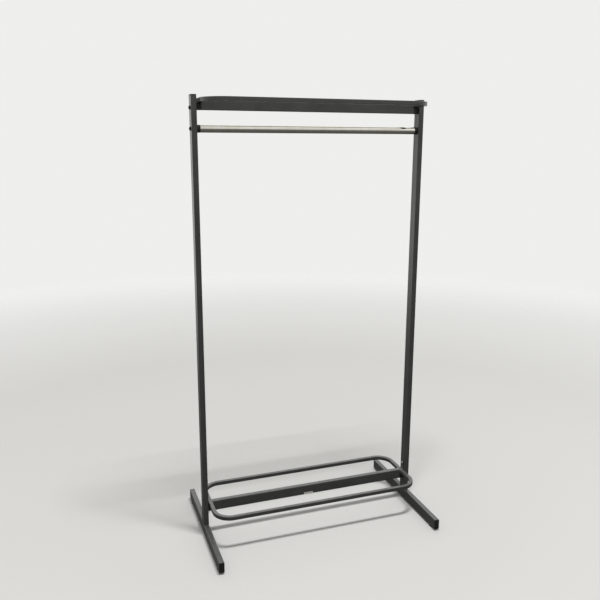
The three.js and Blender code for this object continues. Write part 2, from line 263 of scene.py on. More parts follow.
def piece(name, bm, material, nodes=(), body="rack"):
    """A finished piece from a mesh in the frame's own coordinates."""
    bmesh.ops.recalc_face_normals(bm, faces=bm.faces)
    mesh = bpy.data.meshes.new(name)
    bm.to_mesh(mesh)
    bm.free()
    mesh.materials.append(material)
    mesh.shade_smooth()
    mesh.set_sharp_from_angle(angle=math.radians(38))
    made = bpy.data.objects.new(name, mesh)
    bpy.context.scene.collection.objects.link(made)
    weighted = made.modifiers.new("even shading", "WEIGHTED_NORMAL")
    weighted.keep_sharp = True
    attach(made, body)
    if nodes:
        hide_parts(*nodes)
    return made


# ---------------------------------------------------------------- shapes that repeat


def rounding(radius, steps=3):
    """(inset, rise) pairs round a quarter circle, from the side of an edge to its top."""
    angles = [math.radians(90 * step / steps) for step in range(steps + 1)]
    return [(radius * (1 - math.cos(a)), radius * math.sin(a)) for a in angles]


def tube(width, height, length):
    """A rectangular tube along +Z with deburred ends."""

    def ring(grow, along):
        points = rounded_rect(width + 2 * grow, height + 2 * grow, TUBE_CORNER + grow)
        return level(points, along)

    outer = [ring(-inset, length - BURR + rise) for inset, rise in rounding(BURR)]
    inner = [ring(inset - TUBE_WALL, length - BURR + rise) for inset, rise in rounding(BURR)]
    inner_start = [ring(inset - TUBE_WALL, BURR - rise) for inset, rise in rounding(BURR)]
    outer_start = [ring(-inset, BURR - rise) for inset, rise in rounding(BURR)]
    return loft(outer + inner[::-1] + inner_start + outer_start[::-1], joined=True)


def drill(radius, point, direction, depth, flare=BURR):
    """A cutting tool that starts outside a wall, with a flared mouth, and goes in from a point."""
    profile = [(-OVERRUN, radius + flare + OVERRUN), (flare, radius), (depth, radius)]
    tool = spin(profile, HOLE_SIDES)
    return placed(tool, Matrix.Translation(point) @ TURNS[direction])


def through_drill(radius, point, direction, thickness, flare=BURR):
    """A cutting tool through a thickness, flared at both ends."""
    profile = [(-OVERRUN, radius + flare + OVERRUN), (flare, radius), (thickness - flare, radius)]
    profile += [(thickness + OVERRUN, radius + flare + OVERRUN)]
    tool = spin(profile, HOLE_SIDES)
    return placed(tool, Matrix.Translation(point) @ TURNS[direction])


def on(value, axis, point):
    """The point moved to a value along one axis."""
    moved = Vector(point)
    moved[axis] = value
    return moved


def hexed(radius):
    """A radius function for a hexagon with that radius to its corners."""
    apothem = radius * math.cos(math.pi / 6)
    return lambda angle: apothem / math.cos((angle % (math.pi / 3)) - math.pi / 6)


def knurled(radius, depth, count):
    """A radius function for straight knurls."""
    return lambda angle: radius - depth * abs(math.sin(count * angle / 2))


def threaded(size, start, end, origin, extra=0.0):
    """Profile rings of a screw thread from start to end, which may run backwards.

    The origin is where the piece stands along its own axis, so that a screw and its nut are in step.
    Extra widens the thread into a nut's, which runs out wide at its ends; a screw's runs out narrow.
    """
    steps = round(abs(end - start) / size["pitch"] * THREAD_STEPS)
    depth = size["crest"] - size["root"]
    flank = 1.3  # steepness, which leaves a flat crest
    flat_root = 0.12

    def radius_at(along, fade):
        def radius(angle):
            phase = ((along + origin) / size["pitch"] - angle / (2 * math.pi)) % 1
            crest = min(1, max(0, flank * (1 - abs(2 * phase - 1)) - flat_root))
            run_out = 1 - fade if extra else 0
            return size["root"] + extra + depth * (crest * fade + run_out)

        return radius

    rings = []
    for step in range(steps + 1):
        fade = min(1, step / THREAD_STEPS, (steps - step) / THREAD_STEPS)
        along = start + (end - start) * step / steps
        rings.append((along, radius_at(along, fade)))
    return rings


def standing(place):
    """How far along its own axis a piece starts."""
    return place.translation.dot(place.col[2].xyz)


def button_bolt(size, head, head_radius, length, thread_length, origin):
    """A bolt along +Z with a domed, socketed head: its tip is at 0 and its head ends the length."""
    seat = length - head["height"]
    crown = head["height"] - head["rim"]
    seat_edge = 0.25 * MM
    mouth = head["socket"] * head["flare"]
    last = math.acos(mouth / head_radius)
    profile = [(0, size["root"] * 0.8), (TIP_CONE, size["root"])]
    profile += threaded(size, THREAD_START, thread_length, origin)
    profile += [(thread_length + THREAD_END, size["crest"]), (seat - FILLET, size["crest"])]
    profile += [(seat, size["crest"] + FILLET), (seat, head_radius - seat_edge)]
    profile += [(seat + seat_edge, head_radius)]
    for step in range(DOME_STEPS + 1):
        angle = last * step / DOME_STEPS
        profile.append((seat + head["rim"] + crown * math.sin(angle), head_radius * math.cos(angle)))
    top = profile[-1][0]
    floor_of_socket = seat + head["height"] - head["depth"]
    socket = hexed(head["socket"])
    profile += [(top - 0.25 * MM, socket), (floor_of_socket, socket)]
    profile += [(floor_of_socket - 0.6 * MM, head["socket"] * 0.25)]
    return spin(profile)


def bead(start, end, face_a, face_b, leg, draws):
    """A fillet weld along a corner: face_a and face_b point out along the two walls that meet there."""
    ripple_length = 1.6 * MM
    ripples = max(3, round((end - start).length / ripple_length))
    steps = ripples * 6
    sink = 0.35 * MM
    bulge = 0.22
    strengths = [draws.uniform(0.5, 1.5) for _ in range(ripples + 1)]
    rings = []
    for step in range(steps + 1):
        share = step / steps
        nth = share * ripples
        taper = min(1, 0.35 + 4 * share, 0.35 + 4 * (1 - share))
        ripple = 0.93 + 0.09 * abs(math.sin(math.pi * nth)) * strengths[int(nth)]
        size = leg * taper * ripple
        at = start.lerp(end, share)
        ring = [at - sink * (face_a + face_b), at + size * face_a - sink * face_b]
        for arc in range(7):
            angle = math.radians(15 * arc)
            chord = size / (math.cos(angle) + math.sin(angle))
            reach = chord * (1 + bulge * math.sin(2 * angle))
            ring.append(at + reach * (math.cos(angle) * face_a + math.sin(angle) * face_b))
        ring.append(at + size * face_b - sink * face_a)
        rings.append(ring)
    return loft(rings)


# ---------------------------------------------------------------- materials


class Recipe:
    """A new material with short ways to add nodes. A node's first output stands for the node."""

    def __init__(self, name, **shader):
        self.material = bpy.data.materials.new(name)
        self.material.use_nodes = True
        self.tree = self.material.node_tree
        self.shader = self.tree.nodes["Principled BSDF"]
        self.feed(self.shader, shader)
        self.place = self.node("TexCoord").outputs["Object"]
        self.bumps = None

    def feed(self, node, values):
        """Sets or links a node's inputs, given by name or by number."""
        for key, value in values.items():
            socket = node.inputs[key if isinstance(key, int) else key.replace("_", " ")]
            if isinstance(value, bpy.types.Node):
                value = value.outputs[0]
            if isinstance(value, bpy.types.NodeSocket):
                self.tree.links.new(value, socket)
            else:
                socket.default_value = value

    def node(self, kind, settings=None, **values):
        made = self.tree.nodes.new("ShaderNode" + kind)
        for key, value in (settings or {}).items():
            setattr(made, key, value)
        self.feed(made, values)
        return made

    def noise(self, scale, detail=2.0, stretch=(1, 1, 1), roughness=0.5):
        """Noise with scale grains a metre; stretch multiplies the scale along each axis."""
        mapped = self.node("Mapping", Vector=self.place, Scale=stretch)
        return self.node("TexNoise", Vector=mapped, Scale=scale, Detail=detail, Roughness=roughness)

    def span(self, value, low, high, to_low=0.0, to_high=1.0):
        """A value from low..high turned into to_low..to_high, and held at those ends."""
        values = {"Value": value, "From_Min": low, "From_Max": high}
        return self.node("MapRange", To_Min=to_low, To_Max=to_high, **values)

    def math(self, operation, a, b):
        made = self.node("Math", {"operation": operation, "use_clamp": True})
        self.feed(made, {0: a, 1: b})
        return made

    def mix(self, factor, a, b):
        made = self.node("Mix", {"data_type": "RGBA"})
        self.feed(made, {0: factor, 6: a, 7: b})
        return made.outputs[2]

    def facing_up(self, low, high):
        """0 on walls and undersides, 1 on faces that point up."""
        normal = self.node("NewGeometry").outputs["Normal"]
        parts = self.node("SeparateXYZ", Vector=normal)
        return self.span(parts.outputs["Z"], low, high)

    def height(self, low, high, to_low, to_high):
        """A value that goes with the height above the floor."""
        parts = self.node("SeparateXYZ", Vector=self.place)
        return self.span(parts.outputs["Z"], low, high, to_low, to_high)

    def bump(self, height, distance):
        """Adds relief, that many metres high, to what the material has already."""
        values = {"Height": height, "Distance": distance, "Strength": 1.0}
        if self.bumps:
            values["Normal"] = self.bumps
        self.bumps = self.node("Bump", **values)
        self.feed(self.shader, {"Normal": self.bumps})

    def surface(self, color, roughness):
        """Gives the shader its colour and roughness, and the finished material back."""
        self.feed(self.shader, {"Base_Color": color, "Roughness": roughness})
        return self.material


def paint_material():
    """Satin dark grey powder coat with orange peel, up-facing faces paler and rougher in patches (more so
    higher up), rubbed marks near the floor.
    """
    make = Recipe("grey_powder_coat", Metallic=0.0, Coat_Weight=0.25, Coat_Roughness=0.2)
    cloud = make.noise(14, detail=4)
    grain = make.noise(420, detail=3)
    tone = make.mix(make.span(cloud, 0.35, 0.65), (0.055, 0.057, 0.0545, 1), (0.070, 0.072, 0.068, 1))
    tone = make.mix(make.span(grain, 0.55, 0.8, 0, 0.35), tone, (0.10, 0.102, 0.096, 1))
    # Up-facing faces are mixed towards a pale grey and made rougher in noise patches, up to 0.3 of the way
    # above 12 cm and 0.08 below 6 cm.
    paler_tops_field = make.span(make.noise(55, detail=6, roughness=0.65), 0.4, 0.7)
    paler_tops = make.math("MULTIPLY", make.facing_up(0.6, 0.98), paler_tops_field)
    paler_tops = make.math("MULTIPLY", paler_tops, make.height(0.06, 0.12, 0.08, 0.3))
    tone = make.mix(paler_tops, tone, (0.30, 0.295, 0.275, 1))
    scratch = make.span(make.noise(130, detail=3, stretch=(1, 0.12, 1.6)), 0.66, 0.72)
    low_down = make.height(0.02, 0.3, 1, 0.12)
    rubbed = make.math("MULTIPLY", scratch, low_down)
    tone = make.mix(make.math("MULTIPLY", rubbed, 0.5), tone, (0.22, 0.22, 0.21, 1))
    streak = make.noise(38, detail=4, stretch=(1, 1, 0.18))
    roughness = make.span(streak, 0.3, 0.7, 0.29, 0.38)
    roughness = make.math("ADD", roughness, make.math("MULTIPLY", paler_tops, 0.6))
    make.bump(make.noise(1300, detail=2), 0.06 * MM)
    make.bump(make.noise(330, detail=1), 0.12 * MM)
    make.bump(rubbed, 0.03 * MM)
    return make.surface(tone, roughness)


def plastic_material():
    """Moulded black plastic with a fine grained face and worn, paler patches."""
    make = Recipe("black_plastic", Metallic=0.0)
    wear = make.span(make.noise(160, detail=5, roughness=0.6), 0.52, 0.75)
    tone = make.mix(wear, (0.010, 0.010, 0.011, 1), (0.026, 0.026, 0.025, 1))
    paler_tops = make.math("MULTIPLY", make.facing_up(0.5, 0.95), make.span(make.noise(240, detail=4), 0.35, 0.7))
    tone = make.mix(make.math("MULTIPLY", paler_tops, 0.22), tone, (0.2, 0.195, 0.18, 1))
    roughness = make.span(make.noise(90, detail=3), 0.3, 0.7, 0.46, 0.62)
    make.bump(make.noise(2600, detail=2), 0.05 * MM)
    make.bump(make.noise(500, detail=1), 0.05 * MM)
    return make.surface(tone, roughness)


def chrome_material():
    """Chrome plate with fine rings where hanger hooks slide, and a faint warm haze."""
    make = Recipe("bar_chrome", Metallic=1.0)
    haze = make.span(make.noise(26, detail=5, roughness=0.6), 0.35, 0.7)
    tone = make.mix(haze, (0.80, 0.785, 0.735, 1), (0.70, 0.68, 0.60, 1))
    rings = make.noise(60, detail=6, stretch=(22, 0.35, 0.35), roughness=0.7)
    patches = make.span(make.noise(7, detail=2, stretch=(1, 0.1, 0.1)), 0.35, 0.6)
    hooked = make.math("MULTIPLY", make.facing_up(-0.1, 0.8), patches)
    scuffs = make.math("MULTIPLY", make.span(rings, 0.5, 0.72), hooked)
    tone = make.mix(make.math("MULTIPLY", scuffs, 0.35), tone, (0.5, 0.49, 0.46, 1))
    roughness = make.math("ADD", make.span(haze, 0, 1, 0.06, 0.11), make.math("MULTIPLY", scuffs, 0.16))
    make.bump(scuffs, 0.02 * MM)
    make.bump(make.noise(90, detail=1, stretch=(0.3, 1, 1)), 0.02 * MM)
    return make.surface(tone, roughness)


def black_steel_material():
    """Black oxide steel: semi-gloss, with brownish, rubbed high spots."""
    make = Recipe("black_oxide_steel", Metallic=0.55)
    rubbed = make.span(make.noise(520, detail=4, roughness=0.6), 0.5, 0.75)
    tone = make.mix(rubbed, (0.010, 0.010, 0.011, 1), (0.045, 0.038, 0.032, 1))
    roughness = make.span(make.noise(300, detail=3), 0.3, 0.7, 0.28, 0.44)
    make.bump(make.noise(2200, detail=2), 0.03 * MM)
    return make.surface(tone, roughness)


def zinc_material():
    """Bright zinc plate with a faint blue and yellow bloom and turning marks."""
    make = Recipe("zinc_plate", Metallic=1.0)
    bloom = make.span(make.noise(240, detail=3), 0.35, 0.65)
    tone = make.mix(bloom, (0.72, 0.74, 0.765, 1), (0.80, 0.77, 0.68, 1))
    spots = make.span(make.noise(900, detail=5, roughness=0.65), 0.6, 0.75)
    tone = make.mix(make.math("MULTIPLY", spots, 0.5), tone, (0.36, 0.35, 0.33, 1))
    roughness = make.span(make.noise(400, detail=4), 0.3, 0.7, 0.24, 0.42)
    make.bump(make.noise(1800, detail=2), 0.03 * MM)
    return make.surface(tone, roughness)


def brass_material():
    """Machined brass, dulled in places."""
    make = Recipe("machined_brass", Metallic=1.0)
    dull = make.span(make.noise(500, detail=4), 0.35, 0.7)
    tone = make.mix(dull, (0.72, 0.54, 0.26, 1), (0.46, 0.34, 0.17, 1))
    roughness = make.span(dull, 0, 1, 0.26, 0.45)
    make.bump(make.noise(2000, detail=2), 0.03 * MM)
    return make.surface(tone, roughness)


def label_material():
    """Blank white label stock, a little yellowed and smudged."""
    make = Recipe("blank_label", Metallic=0.0)
    smudge = make.span(make.noise(120, detail=5, roughness=0.6), 0.45, 0.75)
    tone = make.mix(smudge, (0.86, 0.85, 0.81, 1), (0.70, 0.68, 0.61, 1))
    fibre = make.noise(1500, detail=4, stretch=(0.4, 1, 1))
    roughness = make.span(fibre, 0.3, 0.7, 0.42, 0.6)
    make.bump(fibre, 0.02 * MM)
    return make.surface(tone, roughness)


PAINT = paint_material()
PLASTIC = plastic_material()
CHROME = chrome_material()
BLACK_STEEL = black_steel_material()
ZINC = zinc_material()
BRASS = brass_material()
LABEL = label_material()


# ---------------------------------------------------------------- painted steel


def post(side):
    """An upright tube, drilled for its bolts and for the rivet nut."""
    node = f"{side}_post"
    place, width, height, length = measure(node, "+z")
    inner_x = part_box(node)[0 if side == "right" else 1].x
    tools = []
    for bolt in (f"top_bolt_{side}", f"bar_bolt_{side}"):
        start = on(inner_x, 0, middle(bolt))
        tools.append(through_drill(M6["hole"], start, OUTWARD[side], width))
    rivet = on(inner_x, 0, middle(f"bottom_screw_{side}"))
    tools.append(drill(RIVET_HOLE_RADIUS, rivet, OUTWARD[side], width / 2))
    made = cut(placed(tube(width, height, length), place), *tools)
    piece(f"fine_{node}", made, PAINT, [node])


def foot(side):
    """A foot tube with bolt holes on top and access and adjuster holes under it."""
    node = f"{side}_foot"
    place, width, height, length = measure(node, "+y")
    low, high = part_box(node)
    tools = []
    for depth in DEPTHS:
        bolt = middle(f"{side}_foot_bolt_{depth}")
        pad = middle(f"{side}_{depth}_adjuster_pad")
        tools.append(drill(M6["hole"], on(high.z, 2, bolt), "-z", height / 2))
        tools.append(drill(ACCESS_RADIUS, on(low.z, 2, bolt), "+z", height / 2))
        tools.append(drill(ADJUSTER_HOLE_RADIUS, on(low.z, 2, pad), "+z", height / 2))
    made = cut(placed(tube(width, height, length), place), *tools)
    piece(f"fine_{node}", made, PAINT, [node])


def rail(shelf):
    """The tube along the middle of a shelf."""
    node = f"{shelf}_rail"
    place, width, height, length = measure(node, "+x")
    made = placed(tube(width, height, length), place)
    piece(f"fine_{node}", made, PAINT, [node])


def ring_shell(low, high, corner, inset):
    """A square bar bent into a ring with round corners; in the bends its outer wall is dished."""
    middle_z = (low.z + high.z) / 2
    radius = corner - LOOP_BAR / 2
    reach_x = (high.x - low.x) / 2 - corner
    reach_y = (high.y - low.y) / 2 - corner
    half = LOOP_BAR / 2 - inset
    section = rounded_rect(2 * half, 2 * half, LOOP_EDGE - inset)
    rings = []
    for quarter, (way_x, way_y) in enumerate(QUARTERS):
        centre = Vector((way_x * reach_x, way_y * reach_y, middle_z))
        for step in range(BEND_STEPS + 1):
            angle = math.radians(90 * (quarter + step / BEND_STEPS))
            outward = Vector((math.cos(angle), math.sin(angle), 0))
            dish = LOOP_DISH * math.sin(math.pi * step / BEND_STEPS) ** 2
            ring = []
            for point in section:
                sag = dish * (1 - (point.y / half) ** 2) if point.x > 0 else 0
                ring.append(centre + (radius + point.x - sag) * outward + Vector((0, 0, point.y)))
            rings.append(ring)
    return loft(rings, joined=True)


def loop(shelf):
    """A shelf's ring of square tube, hollow, with a vent hole under its back."""
    node = f"{shelf}_loop"
    low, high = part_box(node)
    vent = Vector((0, high.y - LOOP_BAR / 2, low.z))
    made = cut(
        ring_shell(low, high, LOOP_CORNERS[shelf], 0),
        ring_shell(low, high, LOOP_CORNERS[shelf], LOOP_WALL),
        drill(VENT_RADIUS, vent, "+z", LOOP_BAR / 2, flare=0.2 * MM),
    )
    piece(f"fine_{node}", made, PAINT, [node])


def rail_welds(shelf, side, draws):
    """Beads in the two corners between a rail's side walls and the loop, and one ground flat on top."""
    rail_low, rail_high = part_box(f"{shelf}_rail")
    way = 1 if side == "right" else -1
    leg = 3.2 * MM
    corner_x = way * (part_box(f"{shelf}_loop")[1].x - LOOP_BAR)
    top = rail_high.z - 1.2 * MM
    bottom = rail_high.z - LOOP_BAR + 1.0 * MM
    inward = Vector((-way, 0, 0))
    beads = []
    for edge_y, out in ((rail_low.y, -1), (rail_high.y, 1)):
        start = Vector((corner_x, edge_y, bottom))
        end = Vector((corner_x, edge_y, top))
        beads.append(bead(start, end, Vector((0, out, 0)), inward, leg, draws))
    half = (rail_high.y - rail_low.y) / 2 - TUBE_CORNER
    width, crown_width = 3.4 * MM, 2.6 * MM
    depth, shoulder, crown = 1.6 * MM, 0.05 * MM, 0.1 * MM
    flat = prism(
        [
            (-depth, width, 2 * half, 1.2 * MM, 0),
            (-shoulder, width, 2 * half, 1.2 * MM, 0),
            (crown, crown_width, 2 * half - 1 * MM, 0.9 * MM, 0),
        ]
    )
    beads.append(placed(flat, Matrix.Translation((corner_x, 0, rail_high.z))))
    piece(f"{shelf}_weld_{side}", merged(*beads), PAINT)


def tab(side, draws):
    """The flat steel tab with its screw hole, and the beads that hold it to the loop."""
    node = f"bottom_tab_{side}"
    place, width, height, length = measure(node, OUTWARD[side])
    edge = 0.3 * MM
    rings = [(edge - rise, inset) for inset, rise in rounding(edge)][::-1]
    rings += [(length - edge + rise, inset) for inset, rise in rounding(edge)]
    plate = prism(
        [(along, width - 2 * i, height - 2 * i, TAB_CORNER - i, 0) for along, i in rings]
    )
    way = 1 if side == "right" else -1
    low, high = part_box(node)
    inner_x = low.x if side == "right" else high.x
    start = on(inner_x, 0, middle(f"bottom_screw_{side}"))
    hole = through_drill(M5["hole"], start, OUTWARD[side], length, flare=0.2 * MM)
    piece(f"fine_{node}", cut(placed(plate, place), hole), PAINT, [node])

    loop_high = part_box("bottom_loop")[1]
    loop_x = way * loop_high.x
    across = Vector((0, 1, 0))
    inward = Vector((-way, 0, 0))
    outward = Vector((way, 0, 0))
    top_leg, side_leg = 2.4 * MM, 1.5 * MM
    ridge = Vector((loop_x + way * edge, 0, loop_high.z - edge))
    reach = width / 2 - 1.5 * MM
    beads = [
        bead(ridge - reach * across, ridge + reach * across, Vector((0, 0, 1)), inward, top_leg, draws)
    ]
    for out in (-1, 1):
        foot_of_bead = Vector((loop_x, out * width / 2, low.z + TAB_CORNER))
        end = on(loop_high.z - LOOP_EDGE, 2, foot_of_bead)
        beads.append(bead(foot_of_bead, end, Vector((0, out, 0)), outward, side_leg, draws))
    piece(f"tab_weld_{side}", merged(*beads), PAINT)


# ---------------------------------------------------------------- black plastic


def ribs(start, end, count, width, height, corner, drop=0.0):
    """Rings of a spigot or skirt with grip ribs, for prism()."""
    rings = []
    for i in range(count):
        foot_of_rib = start + (end - start) * (i + 0.35) / count
        for along, grow in RIB:
            rings.append((foot_of_rib + along, width + 2 * grow, height + 2 * grow, corner + grow, drop))
    return rings


def push_in_cap(node, direction):
    """A tube cap: a hollow ribbed skirt, and a flange with a soft edge and a slightly domed face."""
    place, width, height, length = measure(node, direction)
    skirt = length - CAP_THICKNESS
    fit = 2 * (TUBE_WALL + GAP)
    skirt_width, skirt_height = width - fit, height - fit
    hollow = 2 * SKIRT_WALL
    lead_in = 1.2 * MM
    least_corner = 0.4 * MM

    def flange(inset, along):
        return (along, width - 2 * inset, height - 2 * inset, max(TUBE_CORNER - inset, least_corner), 0)

    rings = [(skirt, skirt_width - hollow, skirt_height - hollow, 0.5 * MM, 0)]
    rings += [(0, skirt_width - hollow, skirt_height - hollow, 0.5 * MM, 0)]
    rings += [(0, skirt_width - 1 * MM, skirt_height - 1 * MM, FITTED_CORNER - 0.5 * MM, 0)]
    rings += [(lead_in, skirt_width, skirt_height, FITTED_CORNER, 0)]
    rings += ribs(lead_in, skirt, 4, skirt_width, skirt_height, FITTED_CORNER)
    rings += [(skirt, skirt_width, skirt_height, FITTED_CORNER, 0)]
    under_edge = CAP_BEVEL / 2
    rings += [flange(inset, skirt + under_edge - rise) for inset, rise in rounding(under_edge)][::-1]
    shoulder = length - CAP_CROWN - CAP_BEVEL
    rings += [flange(inset, shoulder + rise) for inset, rise in rounding(CAP_BEVEL, steps=5)]
    flat_from = 8 * MM
    for inset in (2 * MM, 3.5 * MM, 5 * MM, 6.5 * MM, flat_from):
        share = (inset - CAP_BEVEL) / (flat_from - CAP_BEVEL)
        rings.append(flange(inset, length - CAP_CROWN * (1 - share) ** 2))
    piece(f"fine_{node}", placed(prism(rings), place), PLASTIC, [node])


def rail_plug(shelf, side):
    """The plug in a rail's end, with its spigot; the top one is bored for its bolt and insert."""
    node = f"{shelf}_plug_{side}"
    place, width, height, length = measure(node, OUTWARD[side])
    spigot_width = width - 2 * TUBE_WALL - 2 * GAP
    drop = TUBE_WALL + GAP + SPIGOT_HEIGHT / 2 - height / 2
    step = SPIGOT_LENGTH + GAP
    tip = (spigot_width - SPIGOT_TAPER, SPIGOT_HEIGHT - SPIGOT_TAPER, 0.6 * MM)
    spigot = (spigot_width, SPIGOT_HEIGHT, FITTED_CORNER)
    rings = [(0, *tip, drop), (SPIGOT_TAPER, *spigot, drop)]
    rings += ribs(1.5 * MM, step, 6, *spigot, drop)
    rings += [(step, *spigot, drop)]
    soft = rounding(PLUG_EDGE)
    body = [(step + PLUG_EDGE - rise, inset) for inset, rise in soft][::-1]
    body += [(length - PLUG_EDGE + rise, inset) for inset, rise in soft]
    rings += [(along, width - 2 * i, height - 2 * i, PLUG_CORNER - i, 0) for along, i in body]
    made = placed(prism(rings), place)
    if shelf == "top":
        insert = INSERT_LENGTH + GAP
        pocket = middle(f"top_insert_{side}").xyz
        pocket.x = place.translation.x
        profile = [(-OVERRUN, INSERT_POCKET), (insert, INSERT_POCKET), (insert, M6["hole"])]
        profile += [(length + OVERRUN, M6["hole"])]
        bore = spin(profile, HOLE_SIDES)
        made = cut(made, placed(bore, Matrix.Translation(pocket) @ TURNS[OUTWARD[side]]))
    piece(f"fine_{node}", made, PLASTIC, [node])


def bar_socket(side):
    """The collar and ribbed spigot that hold an end of the hanger bar."""
    node = f"bar_socket_{side}"
    place, width, _, length = measure(node, OUTWARD[side])
    radius = width / 2
    spigot = radius - HANGER_BAR_WALL - GAP
    collar = SPIGOT_LENGTH + GAP
    edge = 0.6 * MM
    first_rib, rib_step = 2.5, 3.4
    groove_depth = 0.3 * MM
    profile = [(0, INSERT_POCKET), (0, spigot - SPIGOT_TAPER), (SPIGOT_TAPER, spigot)]
    for i in range(6):
        foot_of_rib = (first_rib + rib_step * i) * MM
        profile += [(foot_of_rib + along, spigot + grow) for along, grow in RIB]
    profile.append((collar, spigot))
    profile += [(collar + edge - rise, radius - inset) for inset, rise in rounding(edge)][::-1]
    for groove in (3.2 * MM, length - collar - 3.6 * MM):
        for along, depth in ((0, 0), (0.2 * MM, groove_depth), (0.6 * MM, groove_depth), (0.8 * MM, 0)):
            profile.append((collar + groove + along, radius - depth))
    profile += [(length - edge + rise, radius - inset) for inset, rise in rounding(edge)]
    insert = INSERT_LENGTH + GAP
    profile += [(length, M6["hole"]), (insert, M6["hole"]), (insert, INSERT_POCKET)]
    made = placed(spin(profile, FINE_SIDES, joined=True), place)
    piece(f"fine_{node}", made, PLASTIC, [node])


def adjuster_pad(side, depth):
    """A glide pad with a finger grip round its rim and a groove under it."""
    name = f"{side}_{depth}_adjuster"
    place, width, _, height = measure(f"{name}_pad", "+z")
    radius = width / 2
    grip = knurled(radius, 0.45 * MM, 24)
    pocket = M8["crest"] + GAP
    groove = 0.5 * MM
    # Underside with its groove, grip, shoulder, then the pocket for the stud
    profile = [(0, 0.5 * MM), (0, 4 * MM), (groove, 4.5 * MM), (groove, 6.3 * MM), (0, 6.8 * MM)]
    profile += [(0, radius - PAD_BEVEL), (0.25 * MM, radius - 0.3 * MM), (PAD_BEVEL, grip)]
    profile += [(height * 0.5, grip), (height * 0.62, radius - 0.5 * MM)]
    profile += [(height * 0.9, radius - 1.7 * MM), (height, radius - 2.2 * MM)]
    profile += [(height, pocket + 0.3 * MM), (height - 0.3 * MM, pocket)]
    profile += [(POCKET_FLOOR, pocket), (POCKET_FLOOR, 0.5 * MM)]
    made = placed(spin(profile, FINE_SIDES), place)
    piece(f"fine_{name}_pad", made, PLASTIC, [f"{name}_pad"], body=name)


# ---------------------------------------------------------------- metal parts


def hanger_bar():
    """The chromed tube, with deburred ends."""
    place, width, _, length = measure("hanger_bar", "+x")
    radius = width / 2
    inner = radius - HANGER_BAR_WALL
    soft = rounding(BURR)
    bands = 24
    profile = [(BURR - rise, radius - inset) for inset, rise in soft][::-1]
    profile += [(BURR + (length - 2 * BURR) * i / bands, radius) for i in range(1, bands)]
    profile += [(length - BURR + rise, radius - inset) for inset, rise in soft]
    profile += [(length - BURR + rise, inner + inset) for inset, rise in soft][::-1]
    profile += [(BURR - rise, inner + inset) for inset, rise in soft]
    made = placed(spin(profile, FINE_SIDES, joined=True), place)
    piece("fine_hanger_bar", made, CHROME, ["hanger_bar"])


def through_bolt(name, side):
    """A dome head bolt through a post; its head rests on the post's outer face."""
    node = f"{name}_{side}"
    place, width, _, _ = measure(node, OUTWARD[side])
    post_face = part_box(f"{side}_post")[1 if side == "right" else 0].x
    seat = abs(post_face - place.translation.x) + GAP
    length = seat + DOME_HEAD["height"]
    thread_length = 22 * MM
    bolt = button_bolt(M6, DOME_HEAD, width / 2, length, thread_length, standing(place))
    piece(f"fine_{node}", placed(bolt, place), BLACK_STEEL, [node])


def tab_screw(side):
    """The screw through a tab, from inside the rack into the post's rivet nut."""
    node = f"bottom_screw_{side}"
    place, width, _, length = measure(node, INWARD[side])
    origin = standing(place) + M5["pitch"] / 2  # it is drawn the other way round than its nut
    thread_length = length - 3 * MM
    screw = button_bolt(M5, PAN_HEAD, width / 2, length + 0.15 * MM, thread_length, origin)
    piece(f"fine_{node}", placed(screw, place), ZINC, [node])


def foot_bolt(side, depth):
    """A socket cap bolt, head down, with a knurled head."""
    node = f"{side}_foot_bolt_{depth}"
    place, width, _, length = measure(node, "+z")
    radius = width / 2
    head = CAP_HEAD["height"]
    socket = hexed(CAP_HEAD["socket"])
    grip = knurled(radius, 0.18 * MM, 36)
    # Socket, lower edge, knurled side, upper edge, then the thread up to the tip
    profile = [(CAP_HEAD["depth"], NEAR_AXIS), (CAP_HEAD["depth"], socket), (0.3 * MM, socket)]
    profile += [(0, CAP_HEAD["socket"] * CAP_HEAD["flare"]), (0, radius - 0.7 * MM)]
    profile += [(0.5 * MM, radius - 0.15 * MM), (0.9 * MM, grip), (head - 0.9 * MM, grip)]
    profile += [(head - 0.4 * MM, radius - 0.2 * MM), (head, radius - 0.4 * MM)]
    profile += [(head, M6["crest"] + FILLET), (head + FILLET, M6["crest"])]
    profile += threaded(M6, head + 1.5 * MM, length - THREAD_START, standing(place))
    profile += [(length, M6["root"] * 0.8)]
    bolt = spin(profile, sides=72)
    piece(f"fine_{node}", placed(bolt, place), BLACK_STEEL, [node])


def threaded_sleeve(node, direction, size, rings, material):
    """A sleeve with an inner thread; rings give its outside as (distance, radius) pairs."""
    place, _, _, length = measure(node, direction)
    bore = size["tapped"] - size["crest"]
    mouth = size["crest"] + bore + FILLET
    profile = [(0, mouth), *rings, (length, mouth)]
    profile += threaded(size, length - FILLET, FILLET, standing(place), extra=bore)
    sleeve = spin(profile, FINE_SIDES, joined=True)
    piece(f"fine_{node}", placed(sleeve, place), material, [node])


def brass_insert(node, direction):
    """A threaded brass insert with two knurled bands."""
    _, width, _, length = measure(node, direction)
    radius = width / 2
    grip = knurled(radius, 0.22 * MM, 32)
    waist = radius - 0.35 * MM
    chamfer = 0.5 * MM
    rings = [(0, radius - chamfer), (chamfer, grip), (length * 0.4, grip), (length * 0.44, waist)]
    rings += [(length * 0.56, waist), (length * 0.6, grip), (length - chamfer, grip)]
    rings += [(length, radius - chamfer)]
    threaded_sleeve(node, direction, M6, rings, BRASS)


def adjuster_insert(side, depth):
    """The flanged zinc insert that an adjuster screws into."""
    node = f"{side}_{depth}_adjuster_insert"
    _, width, _, length = measure(node, "+z")
    flange, body, thickness = width / 2, 5.9 * MM, 0.8 * MM
    grip = knurled(body, 0.2 * MM, 36)
    rings = [(0, flange - 0.25 * MM), (0.25 * MM, flange), (0.6 * MM, flange)]
    rings += [(thickness, flange - 0.2 * MM), (thickness, body), (2 * MM, body), (2.3 * MM, grip)]
    rings += [(length - 1 * MM, grip), (length, body - 0.7 * MM)]
    threaded_sleeve(node, "+z", M8, rings, ZINC)


